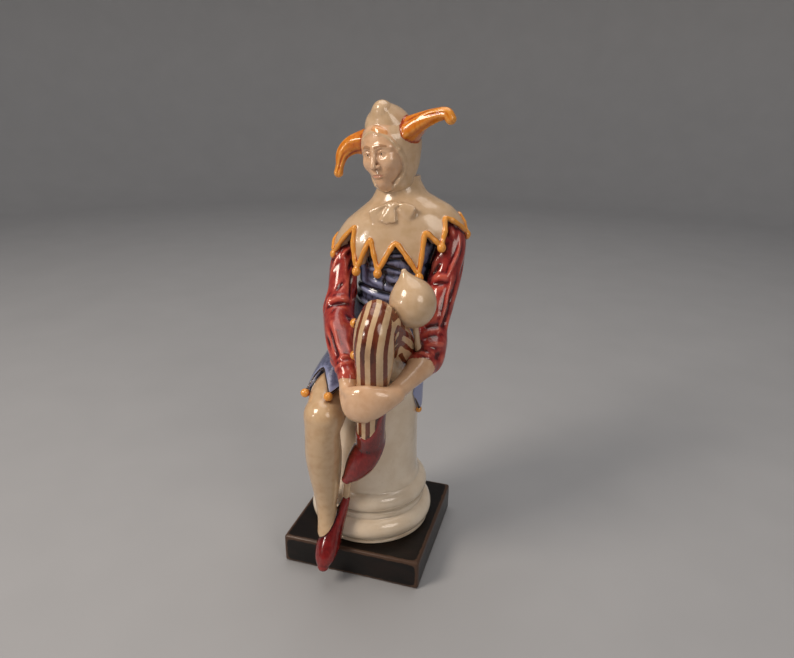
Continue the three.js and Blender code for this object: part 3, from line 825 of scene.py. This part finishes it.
tuft = Ball((8, -10.2, 238.2), (4.8, 2.2, 2.4), "hair", axes=np.array(Matrix.Rotation(math.radians(22), 3, "Y")))
HORN_RIDGES = [
    (9, 0.3, 0.1, 9, 1.3, 0.7), (13, -0.9, -0.15, 10, 1.2, -0.7), (19, 1.2, 0.1, 9, 1.3, 0.6),
    (24, -0.2, 0.1, 8, 1, -0.5), (12, 2.6, 0.1, 10, 1.3, 0.6), (22, -2.2, -0.1, 9, 1.2, -0.5),
]
right_horn = Limb(
    [
        [1, 6, 233.4, 7.4, 7.4], [-5.4, 5.4, 232.4, 6.3, 6.3], [-11.6, 4, 230.6, 4.8, 4.8],
        [-16, 2.6, 226.4, 3.3, 3.3], [-17.6, 1.8, 220.8, 2.1, 2.1], [-18.4, 1.4, 217, 2.4, 2.4],
    ],
    "orange", folds=Folds(HORN_RIDGES, 4),
)
left_horn = Limb(
    [
        [15, 2, 236, 8.4, 8.6], [21, -1, 240.2, 6.2, 7.6], [27, -4, 243.8, 4.2, 4.8],
        [33.4, -6, 246.4, 3.2, 3.4], [38.8, -7.6, 247.2, 2.9, 2.9], [41.2, -8, 244.8, 2.6, 2.8],
    ],
    "orange", folds=Folds(HORN_RIDGES, 4),
)


# Supports that the figure leaves room for
class Column:
    """The pedestal's outside, as a cut."""
    paint = "cream"
    low, high = np.array([-37.0, -37, 17]), np.array([37.0, 37, 107])

    def distance(self, points, span=None):
        radius = np.hypot(points[:, 0], points[:, 1])
        profile = np.interp(points[:, 2], COLUMN_HEIGHTS, COLUMN_RADII)
        return np.maximum(radius - profile - 0.1, points[:, 2] - 106.1)


def bead(radius, middle, half, steps=14):
    angle = np.radians(np.linspace(-78, 78, steps))
    return np.column_stack([radius - half + half * np.cos(angle), middle + half * np.sin(angle)])


COLUMN_PROFILE = np.vstack([
    [[33.6, 18.0], [34.2, 18.6]],
    bead(35.5, 25.0, 6.9),
    [[30.9, 32.6], [30.5, 33.4], [30.5, 34.6], [30.8, 35.2]],
    bead(32.5, 41.0, 5.9),
    [[28.0, 47.4], [27.0, 49.2], [26.6, 52.0], [26.5, 60.0], [26.5, 104.6], [26.1, 105.6], [25.0, 106.0]],
])
COLUMN_HEIGHTS, COLUMN_RADII = COLUMN_PROFILE[:, 1], COLUMN_PROFILE[:, 0]

# Painted stripes of the raised leg: lines along the shin and the thigh, and strokes that turn at the knee
STRIPE = 1.35
ACROSS_SHIN = (0.96, 0.28, 0.0)
SHIN_LINES = ((-5.2, 0.6), (-1.6, 1.1), (3.3, 1.35), (8.8, 1.0))
HAND_HEIGHT = 127
KNEE = 2.6
STROKES_FROM = 1.7
ANKLE_STRIPES = np.radians([-85, -30, 8, 47, 90, 130, 165, -125])
CALF_STRIPES = np.radians([-85, 130, 165, -125])
THIGH_STRIPES = np.radians([-30, 5, 40, 75, 110, 150])
KNEE_STRIPES = [
    [[26.2, -49.4, 158.8], [27, -43.6, 159.2], [29.5, -35, 153], [31, -24, 146]],
    [[23.5, -41, 131], [27, -51.5, 142], [28, -52, 150.5], [28.3, -47.5, 154.6], [29.8, -41, 149.9],
     [30.7, -31.6, 144.1], [31, -22, 138]],
    [[25.8, -42, 136], [27.2, -45, 143], [28.3, -43.6, 146.4], [29.6, -38.3, 142.3], [29.9, -26.6, 134.9],
     [30, -18, 130]],
    [[27.4, -39.5, 138.6], [27, -30.2, 130.6], [26.5, -22, 124]],
]


def stripe_lead(points):
    """How far inside a stripe each point lies, in millimetres; negative outside."""
    lead = np.full(len(points), -2.0, np.float32)
    box = np.all((points > [0, -66, 86]) & (points < [36, 12, 172]), axis=1)
    spots = points[box]
    shin_row, u, v, _ = left_shin.place(spots)
    shin = left_shin.measure(shin_row, u, v, np.zeros(len(u), np.float32))
    angle = np.arctan2(-u / shin_row[:, 3], v / shin_row[:, 4])
    size = shin_row[:, 3:5].mean(1)
    height = spots[:, 2]
    across = spots @ ACROSS_SHIN - np.interp(height, (146, 150, 156, 161, 166), (0, 0.5, 1.5, 3, 4.8))
    front = np.max([half - np.abs(across - middle) for middle, half in SHIN_LINES], axis=0)
    calf = np.max([STRIPE - np.abs(turned(angle - a)) * size for a in CALF_STRIPES], axis=0)
    ankle_lines = np.max([STRIPE * 0.85 - np.abs(turned(angle - a)) * size for a in ANKLE_STRIPES], axis=0)
    seen = (angle > math.radians(-62)) & (angle < math.radians(78)) | (height > 160)
    on_shin = np.where(height < HAND_HEIGHT, ankle_lines, np.where(seen, front, calf))
    row, u, v, _ = left_thigh.place(spots)
    thigh = left_thigh.measure(row, u, v, np.zeros(len(u), np.float32))
    angle = np.arctan2(u / row[:, 3], v / row[:, 4])
    size = row[:, 3:5].mean(1)
    outer = (u < 0) & (row[:, 14] > STROKES_FROM)
    on_thigh = np.max([STRIPE - np.abs(turned(angle - a)) * size for a in THIGH_STRIPES], axis=0)
    strokes = np.max([
        -Tube([[*p, STRIPE + 0.1] for p in line], "stocking").distance(spots) for line in KNEE_STRIPES], axis=0)
    on_thigh = np.where(outer, -2, on_thigh)
    inside = np.maximum(np.where((shin < thigh) | (row[:, 14] > KNEE), on_shin, on_thigh), strokes)
    lead[box] = np.where(np.minimum(shin, thigh) < 1, inside, -2)
    return np.clip(lead, -2, 2)


# The figure in three castings
upper_steps = [
    *add(trunk),
    *add(right_upper_arm, right_forearm, left_upper_arm, left_cuff, blend=1.2),
    *add(left_forearm, left_hand, right_hand, blend=1.4),
    *add(*fingers, blend=1.2),
    *add(cape, blend=0.5),
    *add(*bow, blend=1.6),
    *cut(*bow_pleats, blend=0.8),
    *add(*piping, *cape_bells, blend=0.5),
    *add(stick, bladder, blend=0.5),
    *add(bladder_tip, blend=2.5),
    *cut(Column()),
]
lower_steps = [
    *add(right_thigh),
    *add(right_shin, blend=2.4),
    *add(left_thigh, blend=1.0),
    *add(left_shin, blend=1.6),
    *add(right_shoe, left_shoe, ankle, prop, blend=0.7),
    *add(hips, lap, blend=0.4),
    *add(*skirt_bells, blend=0.5),
    *cut(Column()),
]
head_steps = [
    *add(on_head(hood)),
    *[(on_face(part), blend * FACE_SIZE, is_cut) for part, blend, is_cut in face_steps],
    *add(*[on_head(part) for part in hood_rim()], blend=1.3),
    *add(crest, blend=3),
    *add(tuft, blend=0.5),
    *add(right_horn, left_horn, blend=0.6),
]

face_paint = [
    on_face(part) for part in [
        *pair(lambda s: Ball((4.4 * s, -13.3, -0.6), 0.95, "ink")),
        *pair(lambda s: Tube([[1.9 * s, -14.5, 3.3, 0.45], [4.4 * s, -14.2, 4.0, 0.6], [7.4 * s, -12, 3.2, 0.35]], "brow")),
        Tube(mirrored([[0, -14.7, -12.4, 0.95], [1.8, -14.2, -12.4, 0.8], [3.3, -13, -12.5, 0.3]]), "rose"),
    ]
]
skirt_edges = [
    cord for form, hem in ((hips_form, hips.hem), (lap_form, lap.hem))
    for cord in cords(form.point(hem.t, hem.angle, 1.5), 0.7, "ink", closed=True)
]
TRIANGLES = 190000
upper = sculpt("body", Field((-27, -67, 106), (52, 34, 216), 0.42, 2.0), upper_steps, TRIANGLES)
lower = sculpt("legs", Field((-33, -63, 6), (34, 35, 168), 0.44, 2.0), lower_steps, TRIANGLES, skirt_edges)
head = sculpt("head", Field((-25, -25, 201), (50, 28, 255), 0.28, 3.0), head_steps, TRIANGLES, face_paint)


# The pedestal, turned from its profile, with a slight wobble of the hand-finished clay
def pedestal():
    count = 192
    heights = np.concatenate([COLUMN_HEIGHTS[:-4], np.linspace(56, 102, 24), COLUMN_HEIGHTS[-3:]])
    radii = np.interp(heights, COLUMN_HEIGHTS, COLUMN_RADII)
    angle = np.arange(count) / count * 2 * math.pi
    wobble = 0.12 * np.sin(2 * angle[None] + heights[:, None] / 17) + 0.07 * np.sin(
        5 * angle[None] - heights[:, None] / 9)
    ring = np.stack([
        (radii[:, None] + wobble) * np.cos(angle),
        (radii[:, None] + wobble) * np.sin(angle),
        np.broadcast_to(heights[:, None], wobble.shape),
    ], -1)
    ends = [[0, 0, heights[0]], [0, 0, heights[-1]]]
    points = np.vstack([ring.reshape(-1, 3), ends])
    k = np.arange(count)
    after = (k + 1) % count
    rows = np.arange(len(heights) - 1)[:, None] * count
    sides = np.stack([rows + k, rows + after, rows + count + after, rows + count + k], -1).reshape(-1, 4)
    top = (len(heights) - 1) * count
    triangles = np.vstack([
        sides[:, [0, 1, 2]], sides[:, [0, 2, 3]],
        np.column_stack([after, k, np.full(count, len(points) - 2)]),
        np.column_stack([top + k, top + after, np.full(count, len(points) - 1)]),
    ])
    obj = new_object("pedestal", points, triangles)
    obj.data.shade_smooth()
    return obj


class Slab:
    paint = "cream"
    low, high = np.array([-40.0, -40, 0]), np.array([40.0, 40, 17.7])

    def distance(self, points, span=None):
        half = np.array([40.0, 40.0, 8.85]) - 1.7
        wobble = 0.25 * np.sin(points[:, 0] / 9 + 1) * np.sin(points[:, 1] / 11) + 0.12 * np.sin(points[:, 2] / 2.3 + points[:, 0] / 7)
        q = np.abs(points - [0, 0, 8.85]) - half
        return np.linalg.norm(np.maximum(q, 0), axis=1) + np.minimum(q.max(1), 0) - 1.5 + wobble * 0.35


store(lower, "stripe", stripe_lead(vertices(lower)))
column = pedestal()
slab_field = Field((-43, -43, -3), (43, 43, 21), 0.6, 3.0)
slab = sculpt("slab", slab_field, add(Slab()), 60000)


# Materials
def tint(red, green, blue):
    """A colour from its 0 to 255 screen values."""
    return (*[((c / 255 + 0.055) / 1.055) ** 2.4 if c > 10 else c / 255 / 12.92 for c in (red, green, blue)], 1.0)


class Shader:
    """A material built node by node. Colours and numbers may be values or sockets."""

    def __init__(self, name):
        self.material = bpy.data.materials.new(name)
        self.material.use_nodes = True
        self.tree = self.material.node_tree
        self.surface = self.tree.nodes["Principled BSDF"]
        self.coordinates = self.tree.nodes.new("ShaderNodeTexCoord").outputs["Object"]

    def feed(self, socket, value):
        if isinstance(value, bpy.types.NodeSocket):
            self.tree.links.new(value, socket)
        else:
            socket.default_value = value

    def field(self, name):
        node = self.tree.nodes.new("ShaderNodeAttribute")
        node.attribute_name = name
        return node.outputs["Fac"]

    def math(self, operation, a, b=0.0, clamp=False):
        node = self.tree.nodes.new("ShaderNodeMath")
        node.operation = operation
        node.use_clamp = clamp
        self.feed(node.inputs[0], a)
        self.feed(node.inputs[1], b)
        return node.outputs[0]

    def noise(self, size, detail=3.0, stretch=(1, 1, 1), seed=0.0, distortion=0.0):
        """Noise from 0 to 1 with patches of about size millimetres."""
        mapping = self.tree.nodes.new("ShaderNodeMapping")
        mapping.inputs["Location"].default_value = (seed, seed * 0.7, -seed)
        mapping.inputs["Scale"].default_value = stretch
        self.feed(mapping.inputs["Vector"], self.coordinates)
        node = self.tree.nodes.new("ShaderNodeTexNoise")
        node.inputs["Scale"].default_value = 1 / (size * MM)
        node.inputs["Detail"].default_value = detail
        node.inputs["Distortion"].default_value = distortion
        self.feed(node.inputs["Vector"], mapping.outputs[0])
        return node.outputs["Fac"]

    def ramp(self, value, low, high):
        """0 below low, 1 above high, smooth between."""
        node = self.tree.nodes.new("ShaderNodeMapRange")
        node.interpolation_type = "SMOOTHSTEP"
        self.feed(node.inputs["Value"], value)
        node.inputs["From Min"].default_value = low
        node.inputs["From Max"].default_value = high
        return node.outputs["Result"]

    def mix(self, amount, a, b):
        node = self.tree.nodes.new("ShaderNodeMix")
        node.data_type = "RGBA"
        self.feed(node.inputs["Factor"], amount)
        self.feed(node.inputs["A"], a)
        self.feed(node.inputs["B"], b)
        return node.outputs["Result"]

    def bump(self, height, distance, strength=1.0, normal=None):
        node = self.tree.nodes.new("ShaderNodeBump")
        node.inputs["Strength"].default_value = strength
        node.inputs["Distance"].default_value = distance * MM
        self.feed(node.inputs["Height"], height)
        if normal is not None:
            self.feed(node.inputs["Normal"], normal)
        return node.outputs["Normal"]


def glazed(shader, colour, rough=0.12, coat=0.5, specular=0.5):
    """A glossy glaze: a slightly uneven surface under a clear coat."""
    surface = shader.surface
    shader.feed(surface.inputs["Base Color"], colour)
    patch = shader.noise(3.0, 2.0, seed=0.4)
    roughness = shader.math("ADD", shader.math("MULTIPLY", patch, 0.12), rough)
    shader.feed(surface.inputs["Roughness"], roughness)
    surface.inputs["Coat Weight"].default_value = coat
    surface.inputs["Coat Roughness"].default_value = 0.05
    surface.inputs["Specular IOR Level"].default_value = specular
    wave = shader.bump(shader.noise(2.2, 2.0, seed=0.9), 0.12, 0.5)
    shader.feed(surface.inputs["Normal"], wave)
    return shader.material


def painted(name, obj):
    """The figure's paints, laid over one another in brushed, slightly uneven coats, with painted shade in the folds and
    hollows and painted highlights on the ridges.
    """
    shader = Shader(name)
    relief = shader.field("relief")
    brush = shader.noise(1.6, 4.0, stretch=(1, 1, 0.5), seed=0.2, distortion=0.6)
    patch = shader.noise(5.0, 3.0, seed=0.6)
    edge_noise = shader.math("MULTIPLY", shader.math("SUBTRACT", shader.noise(1.2, 2.0, seed=0.8), 0.5), 0.35)

    def coat(fold_shade, middle, light):
        """Painted shade in the folds and painted highlights on the ridges, with brush marks."""
        height = shader.math("ADD", shader.math("MULTIPLY", relief, 2.2), shader.math("MULTIPLY", brush, 0.8))
        # Painted shade: the first colour fills the folds; painted highlight: the last colour tops the ridges
        lower = shader.mix(shader.ramp(height, 0.05, 0.45), fold_shade, middle)
        return shader.mix(shader.ramp(height, 0.42, 0.95), lower, light)

    def plain(deep, base, light):
        # Painted shade: the deep colour darkens the hollows where the surface sinks in; the third colour is a random
        # patch of tone
        lower = shader.mix(shader.ramp(relief, -0.45, 0.0), deep, base)
        return shader.mix(shader.ramp(patch, 0.35, 0.75), lower, light)

    # In each paint the first colour is painted shade for folds and hollows. In the brushed coats the last colour is a
    # painted highlight on the ridges; in the plain ones it is a random patch of tone
    coats = {
        "cream": plain(tint(150, 112, 78), tint(210, 182, 150), tint(200, 170, 134)),
        "skin": plain(tint(150, 102, 74), tint(222, 184, 150), tint(212, 170, 134)),
        "red": coat(tint(80, 12, 16), tint(152, 46, 42), tint(198, 92, 76)),
        "blue": coat(tint(28, 30, 42), tint(88, 94, 124), tint(146, 154, 192)),
        "orange": coat(tint(158, 56, 8), tint(208, 116, 22), tint(232, 158, 66)),
        "stocking": plain(tint(150, 116, 84), tint(208, 178, 142), tint(196, 162, 124)),
        "shoe": coat(tint(44, 4, 6), tint(98, 12, 14), tint(136, 30, 28)),
        "hair": coat(tint(186, 112, 60), tint(214, 150, 96), tint(226, 172, 122)),
        "ink": coat(tint(20, 16, 18), tint(30, 24, 26), tint(44, 36, 38)),
        "brow": plain(tint(130, 90, 62), tint(180, 140, 108), tint(172, 132, 100)),
        "rose": plain(tint(150, 92, 74), tint(212, 158, 132), tint(204, 148, 122)),
    }
    present = [paint for paint in PAINTS if obj.data.attributes.get(paint)]
    colour = coats[present[0]]
    for paint in present[1:]:
        lead = shader.math("ADD", shader.field(paint), edge_noise if paint in ("red", "blue", "orange") else 0.0)
        colour = shader.mix(shader.ramp(lead, -0.06, 0.06), colour, coats[paint])
        if paint == "stocking":
            # The stripes' brushed coat, with painted shade in its folds and painted highlights on its ridges
            stripe = coat(tint(72, 28, 14), tint(106, 46, 24), tint(134, 68, 36))
            lead = shader.math("ADD", shader.field("stripe"), edge_noise)
            colour = shader.mix(shader.ramp(lead, -0.08, 0.08), colour, stripe)
    return glazed(shader, colour)


def column_china():
    shader = Shader("column_china")
    patch = shader.noise(14, 3.0)
    fine = shader.noise(2.5, 4.0, seed=0.3)
    colour = shader.mix(shader.ramp(patch, 0.3, 0.7), tint(232, 218, 198), tint(220, 202, 178))
    colour = shader.mix(shader.math("MULTIPLY", shader.ramp(fine, 0.55, 0.8), 0.25), colour, tint(198, 178, 150))
    return glazed(shader, colour, 0.1)


def slab_glaze():
    shader = Shader("slab_glaze")
    worn = shader.math("ADD", shader.math("MULTIPLY", shader.field("relief"), 2.2), shader.noise(3.0, 4.0))
    streak = shader.noise(7.0, 4.0, stretch=(0.35, 1.0, 1.0), seed=0.5, distortion=0.8)
    colour = shader.mix(shader.ramp(streak, 0.35, 0.75), tint(12, 8, 7), tint(26, 16, 12))
    colour = shader.mix(shader.ramp(worn, 1.25, 1.7), colour, tint(74, 54, 42))
    return glazed(shader, colour, 0.3, 0.1, 0.3)


for obj in (upper, lower, head):
    obj.data.materials.clear()
    obj.data.materials.append(painted(f"{obj.name}_paint", obj))
    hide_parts("jester")
column.data.materials.append(column_china())
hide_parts("column")
slab.data.materials.clear()
slab.data.materials.append(slab_glaze())
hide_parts("base")
for obj in (upper, lower, head, column, slab):
    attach(obj, "root")


# Floor, light and camera
def floor():
    """A pale round floor that curves up into a wall."""
    bend = np.radians(np.linspace(0, 90, 13))
    profile = [[1.0, 0.0], *zip(1300 + 500 * np.sin(bend), 500 - 500 * np.cos(bend)), [1800.0, 2200.0]]
    angle = np.arange(96) / 96 * 2 * math.pi
    rings = np.array([[[r * math.cos(a), r * math.sin(a), z] for a in angle] for r, z in profile])
    k = np.arange(96)
    rows = np.arange(len(profile) - 1)[:, None] * 96
    faces = np.stack([rows + k, rows + (k + 1) % 96, rows + 96 + (k + 1) % 96, rows + 96 + k], -1).reshape(-1, 4)
    obj = new_object("floor", rings.reshape(-1, 3), faces)
    obj.data.shade_smooth()
    shader = Shader("floor_paint")
    colour = shader.mix(shader.noise(60, 2.0), tint(168, 170, 174), tint(160, 162, 166))
    shader.feed(shader.surface.inputs["Base Color"], colour)
    shader.surface.inputs["Roughness"].default_value = 0.55
    obj.data.materials.append(shader.material)


def area(name, place, target, size, power, colour=(1, 1, 1)):
    light = bpy.data.lights.new(name, "AREA")
    light.shape = "DISK"
    light.size = size
    light.energy = power
    light.color = colour
    obj = bpy.data.objects.new(name, light)
    bpy.context.scene.collection.objects.link(obj)
    back = unit(np.array(place, float) - np.array(target, float))
    right = unit(np.cross(UP, back))
    up = np.cross(back, right)
    matrix = Matrix(np.column_stack([right, up, back]).tolist()).to_4x4()
    matrix.translation = [c * MM for c in place]
    obj.matrix_world = matrix


floor()
area("key", (-560, -640, 820), (0, 0, 130), 0.4, 7.2, (1.0, 0.87, 0.74))
area("fill", (900, -700, 700), (0, 0, 120), 0.6, 3.4, (1.0, 0.9, 0.8))
area("top", (0, 200, 1300), (0, 0, 100), 1.2, 7, (1.0, 0.93, 0.86))
area("spark", (-600, -690, 300), (0, -20, 160), 0.08, 0.8, (1.0, 0.92, 0.84))

world = bpy.data.worlds.new("soft_room")
world.use_nodes = True
world.node_tree.nodes["Background"].inputs["Color"].default_value = tint(196, 198, 202)
world.node_tree.nodes["Background"].inputs["Strength"].default_value = 0.34
bpy.context.scene.world = world


def photo_camera():
    azimuth, elevation, roll = (math.radians(angle) for angle in (16.308, 20.158, 0.792))
    forward = np.array([
        -math.sin(azimuth) * math.cos(elevation), math.cos(azimuth) * math.cos(elevation), -math.sin(elevation)])
    right = np.array([math.cos(azimuth), math.sin(azimuth), 0])
    up = np.cross(right, forward)
    across = right * math.cos(roll) + up * math.sin(roll)
    above = up * math.cos(roll) - right * math.sin(roll)
    data = bpy.data.cameras.new("camera")
    data.sensor_width = 36
    data.sensor_fit = "HORIZONTAL"
    data.lens = 28.777
    data.clip_start = 0.01
    obj = bpy.data.objects.new("camera", data)
    matrix = Matrix(np.column_stack([across, above, -forward]).tolist()).to_4x4()
    matrix.translation = (0.10505, -0.31009, 0.25445)
    obj.matrix_world = matrix
    bpy.context.scene.collection.objects.link(obj)
    bpy.context.scene.camera = obj


photo_camera()
bpy.context.scene.view_settings.view_transform = "Standard"
